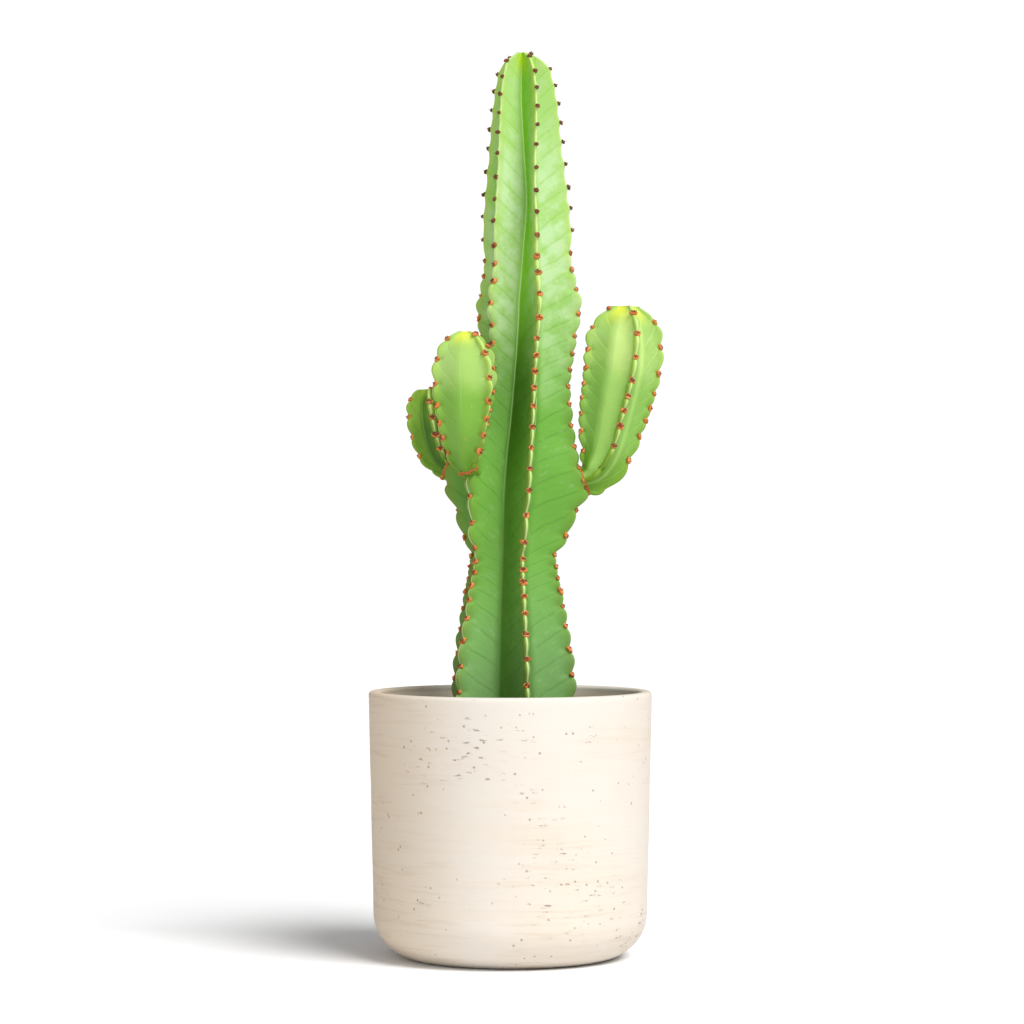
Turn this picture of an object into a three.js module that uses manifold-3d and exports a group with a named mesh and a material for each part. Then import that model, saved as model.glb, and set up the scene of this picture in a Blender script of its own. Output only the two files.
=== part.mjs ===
// A candelabra tree (Euphorbia ingens) growing in a round fibre-concrete planter.
// Units are millimetres, +Z is up, and the origin is the centre of the planter's flat underside.
// The front is -Y. A direction round a stem is an azimuth in degrees: 0 is the front, 90 is +X.

import * as THREE from 'three';
import { mergeVertices } from 'three/addons/utils/BufferGeometryUtils.js';
import Module from 'manifold-3d';

// ---- Driving dimensions ----------------------------------------------------------------------

const POT = {
  rimRadius: 100,
  sideRadius: 96.6, // where the straight side meets the rounded foot
  height: 188,
  footRadius: 32.6, // radius of the rounding between base and side
  wall: 8,
  floor: 11,
  lip: 2.5, // rounding of the lip's two edges
};

const FILL = {
  gravelTop: 42,
  rootBallTop: 148,
  rootBallTopRadius: 68,
  rootBallFootRadius: 58,
  soilTop: 162, // at the pot's wall
  soilMound: 3, // extra height of the soil against the stem
  moundRadius: 52,
};

const CLEARANCE = 0.4; // between pieces that touch
const ROUND_SEGMENTS = 64; // facets round the planter and its filling
const FOOT_SEGMENTS = 5; // facets along a rounded foot
const CREST_THICKNESS = 4; // width of a rib along its crest
const FACE_HOLLOW = 0.1; // how far a rib's face sinks, as a share of its width
const TOOTH_DEPTH = 2.4; // from the tip of a tooth to the notch between two
const END_FADE = 22; // length over which the teeth fade out towards the ends of a shoot

const COLOURS = {
  planter: 0xe8dfcf,
  gravel: 0x9a5f3f,
  soil: 0x3a2b20,
  roots: 0x6a5238,
  stem: 0x5fa548,
  arm: 0x86c252,
};

// ---- Shoots ----------------------------------------------------------------------------------
// Every list holds [distance, value] pairs. On the main stem the distance is the height above the
// base of the planter, and on an arm it is the distance along the arm from its neck.
// `axis` is the middle line, `girth` the radius out to the crests, `core` the radius in the
// valleys and `spacing` the distance between two teeth. A rib has an azimuth, a reach that
// multiplies the girth, a phase that shifts its teeth and a thickness that is added at its crest.

const MAIN_STEM = {
  start: 135,
  axis: [
    [-2, 0, 135],
    [-2, 0, 190],
    [-1, 0, 280],
    [1, 0, 333],
    [6.5, 0, 393],
    [9.5, 0, 460],
    [8.3, 0, 535],
    [8.2, 0, 638.5],
  ],
  girth: [
    [135, 20],
    [150, 38],
    [165, 47],
    [190, 49],
    [217, 46.5],
    [250, 40],
    [284, 33.5],
    [292, 39],
    [300, 42],
    [315, 43.5],
    [330, 48.5],
    [352, 45],
    [386, 38.5],
    [407, 35.5],
    [440, 38.5],
    [461, 41.5],
    [490, 34.5],
    [512, 35.5],
    [535, 33.5],
    [570, 29.5],
    [605, 25.5],
    [620, 22.5],
    [632, 17],
    [638.5, 6],
  ],
  core: [
    [135, 12],
    [165, 20],
    [217, 19],
    [284, 14],
    [333, 16],
    [393, 15],
    [464, 11],
    [535, 11],
    [605, 8],
    [638.5, 3],
  ],
  spacing: [
    [135, 18],
    [205, 18],
    [221, 17],
    [237, 15],
    [250, 11.7],
    [262, 9.2],
    [271, 8.8],
    [278, 7.2],
    [288, 13],
    [304, 19.5],
    [322, 17.2],
    [339, 15.5],
    [360, 14.4],
    [383, 14.5],
    [397, 12.5],
    [410, 11.3],
    [432, 11.8],
    [446, 15],
    [461, 16.6],
    [477, 14],
    [489, 11],
    [500, 15.5],
    [515, 16.8],
    [531, 14.6],
    [550, 16.5],
    [563, 16.6],
    [580, 13.8],
    [607, 13],
    [640, 10],
  ],
  ribs: [
    {
      name: 'front',
      azimuth: [[135, 18], [535, 17], [605, 25]],
      reach: [[135, 0.96], [284, 1], [333, 0.94], [393, 1], [640, 1]],
      phase: 0.37,
      swelling: [[135, 0], [640, 0]],
    },
    {
      name: 'right',
      azimuth: [[135, 90], [640, 90]],
      reach: [[135, 1], [290, 1], [330, 1.13], [350, 1.05], [386, 1], [640, 1]],
      phase: 0.68,
      swelling: [[300, 0], [330, 4.5], [348, 4.5], [370, 0]],
    },
    {
      name: 'rear right',
      azimuth: [[135, 162], [640, 160]],
      reach: [[135, 1], [640, 1]],
      phase: 0.22,
      swelling: [[135, 0], [640, 0]],
    },
    {
      name: 'rear left',
      azimuth: [[135, 234], [640, 234]],
      reach: [[135, 1], [290, 1], [335, 1.18], [365, 1.05], [393, 1], [640, 1]],
      phase: 0.47,
      swelling: [[300, 0], [332, 4.5], [350, 4.5], [372, 0]],
    },
    {
      name: 'front left',
      azimuth: [[135, 306], [464, 307], [535, 322], [640, 322]],
      reach: [[135, 0.95], [284, 0.87], [333, 0.8], [461, 0.77], [535, 0.92], [605, 1]],
      phase: 0.03,
      swelling: [[300, 0], [332, 4.5], [350, 4.5], [372, 0]],
    },
  ],
};

const ARM_RIB = { reach: [[0, 1], [150, 1]], swelling: [[0, 0], [150, 0]] };
const SLIM_RIB = { ...ARM_RIB, reach: [[0, 0.6], [12, 0.66], [26, 0.86], [40, 1], [150, 1]] };

const RIGHT_ARM = {
  start: 0,
  axis: [
    [45, 0, 336],
    [58, -1, 342],
    [67, -2, 358],
    [73, -3, 385],
    [79, -3, 415],
    [81, -2, 440],
    [81.5, -2, 459.5],
  ],
  girth: [
    [0, 8],
    [5, 11],
    [12, 17],
    [20, 19.5],
    [32, 21],
    [50, 23.5],
    [70, 26],
    [100, 28.5],
    [118, 26.5],
    [128, 20],
    [135, 10],
  ],
  core: [[0, 4], [8, 5.5], [20, 10], [60, 14.5], [105, 15], [128, 9], [135, 4]],
  spacing: [[0, 9], [20, 18], [45, 14], [60, 10], [78, 11], [95, 16], [120, 16], [140, 9]],
  ribs: [
    { name: 'front', azimuth: [[0, 12], [140, 20]], phase: 0.5, ...SLIM_RIB },
    { name: 'right', azimuth: [[0, 92], [140, 92]], phase: 0.1, ...ARM_RIB },
    { name: 'rear', azimuth: [[0, 186], [140, 186]], phase: 0.6, ...SLIM_RIB },
    { name: 'left', azimuth: [[0, 272], [140, 272]], phase: 0.8, ...SLIM_RIB },
  ],
};

const FRONT_LEFT_ARM = {
  start: 0,
  axis: [
    [-26, -19, 342],
    [-31.5, -28, 349],
    [-32, -37, 362],
    [-32, -43, 378],
    [-31.5, -45, 405],
    [-31, -45, 425],
    [-30.5, -45, 439.5],
  ],
  girth: [
    [0, 7],
    [8, 8],
    [16, 11.5],
    [30, 16],
    [50, 20.5],
    [66, 23.5],
    [82, 24],
    [95, 20],
    [103, 13],
    [107, 6],
  ],
  core: [[0, 4], [9, 5.5], [20, 8.5], [46, 12.5], [84, 13.5], [101, 8], [107, 3]],
  spacing: [[0, 9], [16, 13], [34, 10.5], [52, 11], [67, 16], [90, 16], [107, 9]],
  ribs: [
    { name: 'right front', azimuth: [[0, 48], [55, 56], [107, 40]], phase: 0.3, ...ARM_RIB },
    { name: 'right rear', azimuth: [[0, 118], [107, 112]], phase: 0.7, ...ARM_RIB },
    { name: 'rear', azimuth: [[0, 190], [107, 190]], phase: 0.2, ...ARM_RIB },
    { name: 'left', azimuth: [[0, 286], [107, 284]], phase: 0, ...ARM_RIB },
  ],
};

const REAR_LEFT_ARM = {
  start: 0,
  axis: [
    [-38, 29, 341],
    [-46, 35, 346],
    [-52, 39, 357],
    [-55.5, 41, 374],
    [-56.5, 42, 388],
    [-57, 42, 402.5],
  ],
  girth: [[0, 8], [9, 9], [18, 13], [32, 16.5], [48, 18.5], [60, 18], [68, 13], [73, 6]],
  core: [[0, 4], [9, 5.5], [20, 8], [45, 9.5], [60, 9], [73, 3]],
  spacing: [[0, 8], [20, 11], [45, 13], [75, 10]],
  ribs: [
    { name: 'front', azimuth: [[0, 20], [73, -8]], phase: 0.4, ...ARM_RIB },
    { name: 'right', azimuth: [[0, 96], [73, 80]], phase: 0.9, ...ARM_RIB },
    { name: 'rear', azimuth: [[0, 184], [73, 176]], phase: 0.2, ...ARM_RIB },
    { name: 'left', azimuth: [[0, 276], [73, 268]], phase: 0.6, ...ARM_RIB },
  ],
};

// ---- Shared geometry -------------------------------------------------------------------------

/** A smooth curve through [distance, value] pairs, level beyond its two ends. */
function smoothCurve(pairs) {
  const distances = pairs.map(([distance]) => distance);
  const values = pairs.map(([, value]) => value);
  const spline = new THREE.CubicInterpolant(distances, values, 1);
  return (distance) => spline.evaluate(distance)[0];
}

/** A closed surface through rings of points, with a fan of triangles closing each end. */
function closedSurface(rings) {
  const around = rings[0].length;
  const positions = rings.flat().flatMap((point) => point.toArray());
  const indices = [];
  for (let row = 0; row + 1 < rings.length; row += 1) {
    for (let column = 0; column < around; column += 1) {
      const next = (column + 1) % around;
      const lower = row * around;
      const upper = lower + around;
      indices.push(lower + column, lower + next, upper + next);
      indices.push(lower + column, upper + next, upper + column);
    }
  }
  const ends = [rings[0], rings[rings.length - 1]];
  ends.forEach((ring, end) => {
    const centre = new THREE.Vector3();
    ring.forEach((point) => centre.addScaledVector(point, 1 / around));
    const hub = positions.length / 3;
    const first = end * (rings.length - 1) * around;
    positions.push(...centre.toArray());
    for (let column = 0; column < around; column += 1) {
      const pair = [first + column, first + ((column + 1) % around)];
      indices.push(hub, ...(end ? pair : pair.reverse()));
    }
  });
  const geometry = new THREE.BufferGeometry();
  geometry.setAttribute('position', new THREE.Float32BufferAttribute(positions, 3));
  geometry.setIndex(indices);
  return geometry;
}

/** A solid of revolution about +Z from [radius, height] points that start and end on the axis. */
function turned(outline) {
  const points = outline.map(([radius, height]) => new THREE.Vector2(radius, height));
  const geometry = new THREE.LatheGeometry(points, ROUND_SEGMENTS);
  geometry.rotateX(Math.PI / 2);
  return geometry;
}

/** Points of the rounding between a flat base and an upright side, from the base outwards. */
function roundedFoot(sideRadius, base, rounding) {
  const points = [];
  for (let step = 0; step <= FOOT_SEGMENTS; step += 1) {
    const turn = ((step / FOOT_SEGMENTS) * Math.PI) / 2;
    const radius = sideRadius - rounding * (1 - Math.sin(turn));
    points.push([radius, base + rounding * (1 - Math.cos(turn))]);
  }
  return points;
}

// ---- Joining and cutting ---------------------------------------------------------------------

const wasm = await Module();
wasm.setup();

/** The solid bounded by a closed geometry. */
function toSolid(geometry) {
  const bare = geometry.clone();
  bare.deleteAttribute('normal');
  bare.deleteAttribute('uv');
  const merged = mergeVertices(bare, 1e-4);
  const vertProperties = new Float32Array(merged.attributes.position.array);
  const triVerts = new Uint32Array(merged.index.array);
  return new wasm.Manifold(new wasm.Mesh({ numProp: 3, vertProperties, triVerts }));
}

/** What is left of a geometry once other closed geometries are cut away. */
function cut(geometry, ...cutters) {
  const left = cutters.reduce((solid, cutter) => solid.subtract(toSolid(cutter)), toSolid(geometry));
  const mesh = left.getMesh();
  const result = new THREE.BufferGeometry();
  result.setAttribute('position', new THREE.BufferAttribute(mesh.vertProperties, 3));
  result.setIndex(new THREE.BufferAttribute(mesh.triVerts, 1));
  return result;
}

// ---- Ribbed shoots ---------------------------------------------------------------------------

/** Distances along a shoot of the tip of every tooth and of the notch between every two. */
function toothStations(shoot, length) {
  const spacing = smoothCurve(shoot.spacing);
  const stations = [];
  for (let at = shoot.start; at < shoot.start + length; at += spacing(at) / 2) {
    stations.push(at);
  }
  stations.push(shoot.start + length);
  return stations;
}

/** The value at a fractional place in a list. */
function between(list, place) {
  const lower = THREE.MathUtils.clamp(Math.floor(place), 0, list.length - 2);
  return THREE.MathUtils.lerp(list[lower], list[lower + 1], place - lower);
}

/** The closed surface of one ribbed shoot, grown outwards by a clearance. */
function ribbedShoot(shoot, growth = 0) {
  const axis = new THREE.CatmullRomCurve3(shoot.axis.map((point) => new THREE.Vector3(...point)));
  const length = axis.getLength();
  const stations = toothStations(shoot, length);
  const girth = smoothCurve(shoot.girth);
  const core = smoothCurve(shoot.core);
  const ribs = shoot.ribs.map((rib) => ({
    azimuth: smoothCurve(rib.azimuth),
    reach: smoothCurve(rib.reach),
    swelling: smoothCurve(rib.swelling),
    phase: rib.phase,
  }));
  const up = new THREE.Vector3(0, 0, 1);
  const lean = new THREE.Quaternion();

  /** The point at a radius and an azimuth, moved sideways, on the cross-section at a distance. */
  function sectionPoint(distance, azimuth, radius, sideways) {
    const share = THREE.MathUtils.clamp((distance - shoot.start) / length, 0, 1);
    const angle = THREE.MathUtils.degToRad(azimuth);
    const x = radius * Math.sin(angle) + sideways * Math.cos(angle);
    const y = -radius * Math.cos(angle) + sideways * Math.sin(angle);
    lean.setFromUnitVectors(up, axis.getTangentAt(share));
    return new THREE.Vector3(x, y, 0).applyQuaternion(lean).add(axis.getPointAt(share));
  }

  /** One ring of points: on each rib two along the crest, then a face, a valley and a face. */
  function ring(row) {
    const fromEnd = Math.min(stations[row] - shoot.start, shoot.start + length - stations[row]);
    const fade = Math.min(1, fromEnd / END_FADE);
    const notch = row % 2 ? TOOTH_DEPTH * fade : 0;
    const crests = ribs.map((rib) => {
      const distance = between(stations, row + 2 * (rib.phase - 0.5) * fade);
      const azimuth = rib.azimuth(distance);
      const radius = girth(distance) * rib.reach(distance) - notch + growth;
      const thickness = CREST_THICKNESS + 2 * rib.swelling(distance);
      const half = Math.min(thickness / 2, radius * 0.45) + growth;
      return { distance, azimuth, radius, half };
    });
    return crests.flatMap((crest, index) => {
      const next = crests[(index + 1) % crests.length];
      const turn = THREE.MathUtils.euclideanModulo(next.azimuth - crest.azimuth, 360);
      const middle = (crest.distance + next.distance) / 2;
      const near = sectionPoint(crest.distance, crest.azimuth, crest.radius, -crest.half);
      const far = sectionPoint(crest.distance, crest.azimuth, crest.radius, crest.half);
      const valleyRadius = core(middle) + growth;
      const valley = sectionPoint(middle, crest.azimuth + turn / 2, valleyRadius, 0);
      const nextNear = sectionPoint(next.distance, next.azimuth, next.radius, -next.half);
      const heart = sectionPoint(middle, 0, 0, 0);
      const faces = [far, nextNear].map((edge) => {
        const face = edge.clone().lerp(valley, 0.5);
        return face.lerp(heart, FACE_HOLLOW);
      });
      return [near, far, faces[0], valley, faces[1]];
    });
  }

  return closedSurface(stations.map((_, row) => ring(row)));
}

// ---- The pieces ------------------------------------------------------------------------------

/** The pot: a flat base, a rounded foot, a slightly flared wall and a rounded lip. */
function planter() {
  const { rimRadius, sideRadius, height, footRadius, wall, floor, lip } = POT;
  const innerFoot = footRadius - wall;
  const outer = [[0, 0], ...roundedFoot(sideRadius, 0, footRadius)];
  const rim = [
    [rimRadius, height - lip],
    [rimRadius - lip, height],
    [rimRadius - wall + lip, height],
    [rimRadius - wall, height - lip],
  ];
  const inner = [...roundedFoot(sideRadius - wall, floor, innerFoot).reverse(), [0, floor]];
  return turned([...outer, ...rim, ...inner]);
}

/** The inner radius of the planter's wall at a height above its foot. */
function innerRadius(height) {
  const { rimRadius, sideRadius, footRadius, wall } = POT;
  const share = (height - footRadius) / (POT.height - footRadius);
  return THREE.MathUtils.lerp(sideRadius, rimRadius, share) - wall;
}

/** Clay granules over the floor, as one layer with the shape of the pot's foot. */
function drainageGravel() {
  const foot = roundedFoot(
    POT.sideRadius - POT.wall - CLEARANCE,
    POT.floor + CLEARANCE,
    POT.footRadius - POT.wall,
  );
  const top = [
    [innerRadius(FILL.gravelTop) - CLEARANCE, FILL.gravelTop],
    [0, FILL.gravelTop],
  ];
  return turned([[0, POT.floor + CLEARANCE], ...foot, ...top]);
}

/** The tapered plug of roots, standing on the gravel and holding the stem's foot. */
function rootBall(stemRoom) {
  const base = FILL.gravelTop + CLEARANCE;
  const plug = turned([
    [0, base],
    [FILL.rootBallFootRadius, base],
    [FILL.rootBallTopRadius, FILL.rootBallTop],
    [0, FILL.rootBallTop],
  ]);
  return cut(plug, stemRoom);
}

/** Soil round and over the root ball, rising a little towards the stem. */
function pottingSoil(stemRoom) {
  const base = FILL.gravelTop + CLEARANCE;
  const fill = turned([
    [0, base],
    [innerRadius(base) - CLEARANCE, base],
    [innerRadius(FILL.soilTop) - CLEARANCE, FILL.soilTop],
    [FILL.moundRadius, FILL.soilTop + FILL.soilMound],
    [0, FILL.soilTop + FILL.soilMound],
  ]);
  const rootRoom = turned([
    [0, base - CLEARANCE],
    [FILL.rootBallFootRadius + CLEARANCE, base - CLEARANCE],
    [FILL.rootBallTopRadius + CLEARANCE, FILL.rootBallTop + CLEARANCE],
    [0, FILL.rootBallTop + CLEARANCE],
  ]);
  return cut(fill, rootRoom, stemRoom);
}

/** A mesh with the name, colour and roughness of one piece. */
function piece(name, geometry, color, roughness) {
  const material = new THREE.MeshStandardMaterial({ color, roughness, metalness: 0 });
  const mesh = new THREE.Mesh(geometry, material);
  mesh.name = name;
  return mesh;
}

const stemRoom = ribbedShoot(MAIN_STEM, CLEARANCE);

const pot = new THREE.Group();
pot.add(
  piece('planter', planter(), COLOURS.planter, 0.85),
  piece('drainage_gravel', drainageGravel(), COLOURS.gravel, 0.95),
  piece('potting_soil', pottingSoil(stemRoom), COLOURS.soil, 1),
  piece('root_ball', rootBall(stemRoom), COLOURS.roots, 1),
);

const tree = new THREE.Group();
tree.add(
  piece('main_stem', ribbedShoot(MAIN_STEM), COLOURS.stem, 0.5),
  piece('right_arm', cut(ribbedShoot(RIGHT_ARM), stemRoom), COLOURS.arm, 0.5),
  piece('front_left_arm', cut(ribbedShoot(FRONT_LEFT_ARM), stemRoom), COLOURS.arm, 0.5),
  piece('rear_left_arm', cut(ribbedShoot(REAR_LEFT_ARM), stemRoom), COLOURS.arm, 0.5),
);

const pottedTree = new THREE.Group();
pottedTree.add(pot, tree);

export default pottedTree;
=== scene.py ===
"""The looks of a candelabra tree (Euphorbia ingens) that grows in a fibre-concrete planter.

Sizes are in millimetres and are turned into metres when a mesh is placed. +Z is up, the front is
-Y, and a direction round a shoot is an azimuth in degrees: 0 is the front and 90 is +X.
"""

from __future__ import annotations

import logging
import math
import random
from collections.abc import Iterator, Mapping, Sequence
from dataclasses import dataclass, field, replace

import bmesh
import bpy
from mathutils import Matrix, Quaternion, Vector, noise


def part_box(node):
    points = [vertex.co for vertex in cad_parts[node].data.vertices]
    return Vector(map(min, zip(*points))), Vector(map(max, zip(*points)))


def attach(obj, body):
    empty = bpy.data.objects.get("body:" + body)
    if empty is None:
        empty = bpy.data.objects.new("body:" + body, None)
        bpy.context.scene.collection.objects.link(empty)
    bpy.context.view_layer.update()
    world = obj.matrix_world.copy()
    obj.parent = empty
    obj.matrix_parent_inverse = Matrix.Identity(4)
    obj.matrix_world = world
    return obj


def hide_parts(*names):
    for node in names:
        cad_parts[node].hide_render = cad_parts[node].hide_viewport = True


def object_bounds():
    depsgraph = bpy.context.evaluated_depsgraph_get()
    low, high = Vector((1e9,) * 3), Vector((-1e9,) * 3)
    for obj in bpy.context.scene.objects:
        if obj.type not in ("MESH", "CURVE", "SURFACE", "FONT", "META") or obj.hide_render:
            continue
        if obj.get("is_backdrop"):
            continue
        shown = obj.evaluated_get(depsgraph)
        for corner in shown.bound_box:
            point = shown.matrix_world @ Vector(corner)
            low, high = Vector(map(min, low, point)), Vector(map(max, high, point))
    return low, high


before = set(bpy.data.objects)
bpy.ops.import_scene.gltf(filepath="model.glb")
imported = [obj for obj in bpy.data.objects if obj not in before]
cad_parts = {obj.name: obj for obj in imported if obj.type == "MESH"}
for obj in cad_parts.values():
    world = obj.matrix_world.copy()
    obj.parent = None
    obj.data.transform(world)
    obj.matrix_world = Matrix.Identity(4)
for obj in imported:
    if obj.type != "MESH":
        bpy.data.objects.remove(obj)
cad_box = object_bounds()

log = logging.getLogger("potted_tree")

MM = 0.001
UP = Vector((0.0, 0.0, 1.0))

Colour = tuple[float, float, float]
Pairs = tuple[tuple[float, float], ...]


# ---- Curves and numbers ------------------------------------------------------------------------


@dataclass(frozen=True)
class Curve:
    """A smooth curve through (distance, value) pairs, level beyond its two ends."""

    pairs: Pairs

    def _slope(self, place: int) -> float:
        """Return the slope of the curve at one of its pairs."""
        before = self.pairs[max(place - 1, 0)]
        after = self.pairs[min(place + 1, len(self.pairs) - 1)]
        return (after[1] - before[1]) / (after[0] - before[0])

    def at(self, distance: float) -> float:
        """Return the value at a distance.

        Args:
            distance: Where to read the curve.

        Returns:
            The value of the cubic that joins the two nearest pairs.
        """
        pairs = self.pairs
        if distance <= pairs[0][0]:
            return pairs[0][1]
        if distance >= pairs[-1][0]:
            return pairs[-1][1]
        place = next(i for i, pair in enumerate(pairs) if pair[0] > distance) - 1
        (start, low), (stop, high) = pairs[place], pairs[place + 1]
        span = stop - start
        t = (distance - start) / span
        rise, lean = t * t * (3 - 2 * t), t * (1 - t)
        bend = self._slope(place) * (1 - t) - self._slope(place + 1) * t
        return low + (high - low) * rise + span * lean * bend


def step(value: float, low: float, high: float) -> float:
    """Return 0 below low, 1 above high and a smooth rise between them."""
    t = min(max((value - low) / (high - low), 0.0), 1.0)
    return t * t * (3 - 2 * t)


def blend(low: float, high: float, share: float) -> float:
    """Return the value a share of the way from low to high."""
    return low + (high - low) * share


# ---- Shader kit --------------------------------------------------------------------------------


class Wire:
    """An output socket whose operators add Math nodes."""

    def __init__(self, graph: Graph, socket: bpy.types.NodeSocket) -> None:
        """Keep the graph and the socket."""
        self.graph = graph
        self.socket = socket

    def _math(self, operation: str, first: Wire | float, second: Wire | float = 0.0) -> Wire:
        """Return the result of one Math node."""
        made = self.graph.node("ShaderNodeMath", {"operation": operation}, {0: first, 1: second})
        return Wire(self.graph, made.outputs[0])

    def __add__(self, other: Wire | float) -> Wire:
        """Return self + other."""
        return self._math("ADD", self, other)

    __radd__ = __add__

    def __sub__(self, other: Wire | float) -> Wire:
        """Return self - other."""
        return self._math("SUBTRACT", self, other)

    def __rsub__(self, other: Wire | float) -> Wire:
        """Return other - self."""
        return self._math("SUBTRACT", other, self)

    def __mul__(self, other: Wire | float) -> Wire:
        """Return self * other."""
        return self._math("MULTIPLY", self, other)

    __rmul__ = __mul__

    def fraction(self) -> Wire:
        """Return the part after the decimal point."""
        return self._math("FRACT", self)

    def distance_to(self, other: Wire | float) -> Wire:
        """Return the absolute difference from other."""
        return self._math("ABSOLUTE", self - other)

    def rise(self, low: float, high: float) -> Wire:
        """Return a smooth rise from 0 at low to 1 at high, or a fall when high is below low."""
        flip = high < low
        ends = (high, low) if flip else (low, high)
        made = self.graph.node(
            "ShaderNodeMapRange",
            {"interpolation_type": "SMOOTHSTEP"},
            {"Value": self, "From Min": ends[0], "From Max": ends[1]},
        )
        risen = Wire(self.graph, made.outputs["Result"])
        return 1 - risen if flip else risen


Paint = Wire | Colour


class Graph:
    """The node tree of one material."""

    def __init__(self, name: str, fixed: Mapping[str, float]) -> None:
        """Start a material.

        Args:
            name: The material's name.
            fixed: Values set directly on the sockets of its shader.
        """
        self.material = bpy.data.materials.new(name)
        self.material.use_nodes = True
        self.tree = self.material.node_tree
        self.shader = self.tree.nodes["Principled BSDF"]
        for key, value in fixed.items():
            self.shader.inputs[key].default_value = value

    def node(
        self,
        kind: str,
        settings: Mapping[str, object] | None = None,
        inputs: Mapping[str | int, object] | None = None,
    ) -> bpy.types.Node:
        """Add a node.

        Args:
            kind: The node's type.
            settings: Attributes that are set first.
            inputs: A value or a wire for each named or numbered socket.

        Returns:
            The new node.
        """
        made = self.tree.nodes.new(kind)
        for key, value in (settings or {}).items():
            setattr(made, key, value)
        for key, value in (inputs or {}).items():
            self.feed(made.inputs[key], value)
        return made

    def feed(self, socket: bpy.types.NodeSocket, value: object) -> None:
        """Link a wire to a socket, or set the socket's value."""
        if isinstance(value, Wire):
            self.tree.links.new(value.socket, socket)
        elif isinstance(value, tuple) and len(socket.default_value) == 4:
            socket.default_value = (*value, 1.0)
        else:
            socket.default_value = value

    def attribute(self, name: str) -> Wire:
        """Return a number stored on the piece's points."""
        made = self.node("ShaderNodeAttribute", {"attribute_name": name})
        return Wire(self, made.outputs["Fac"])

    def place(self, stretch: Colour = (1.0, 1.0, 1.0)) -> Wire:
        """Return the object coordinates in metres, stretched along each axis."""
        plain = Wire(self, self.node("ShaderNodeTexCoord").outputs["Object"])
        settings = {"operation": "MULTIPLY"}
        made = self.node("ShaderNodeVectorMath", settings, {0: plain, 1: stretch})
        return Wire(self, made.outputs[0])

    def side(self) -> Wire:
        """Return the distance to the right of the middle, in metres."""
        made = self.node("ShaderNodeSeparateXYZ", None, {0: self.place()})
        return Wire(self, made.outputs["X"])

    def grain(self, scale: float, detail: float = 3.0, **more: object) -> Wire:
        """Return a soft noise.

        Args:
            scale: Its frequency per metre.
            detail: Its number of octaves.
            **more: Vector, Roughness or Distortion.

        Returns:
            A value round 0.5.
        """
        inputs = {"Vector": self.place(), "Scale": scale, "Detail": detail, **more}
        return Wire(self, self.node("ShaderNodeTexNoise", None, inputs).outputs["Fac"])

    def cells(self, scale: float, stretch: Colour = (1.0, 1.0, 1.0), output: str = "Distance") -> Wire:
        """Return the distance to, or the random colour of, the nearest of many scattered points."""
        inputs = {"Vector": self.place(stretch), "Scale": scale}
        return Wire(self, self.node("ShaderNodeTexVoronoi", None, inputs).outputs[output])

    def mix(self, low: Paint, high: Paint, share: Wire | float, mode: str = "MIX") -> Wire:
        """Return a colour a share of the way from low to high, in one of the blend modes."""
        settings = {"data_type": "RGBA", "blend_type": mode, "clamp_factor": True}
        made = self.node("ShaderNodeMix", settings, {0: share, 6: low, 7: high})
        return Wire(self, made.outputs[2])

    def finish(self, colour: Wire, roughness: Wire, height: Wire, depth: float) -> bpy.types.Material:
        """Connect the shader.

        Args:
            colour: The base colour.
            roughness: The roughness.
            height: The relief, from 0 to 1.
            depth: The relief's real depth in millimetres.

        Returns:
            The finished material.
        """
        inputs = {"Strength": 1.0, "Distance": depth * MM, "Height": height}
        bump = Wire(self, self.node("ShaderNodeBump", None, inputs).outputs["Normal"])
        self.feed(self.shader.inputs["Base Color"], colour)
        self.feed(self.shader.inputs["Roughness"], roughness)
        self.feed(self.shader.inputs["Normal"], bump)
        return self.material


# ---- Finishes ----------------------------------------------------------------------------------


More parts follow.
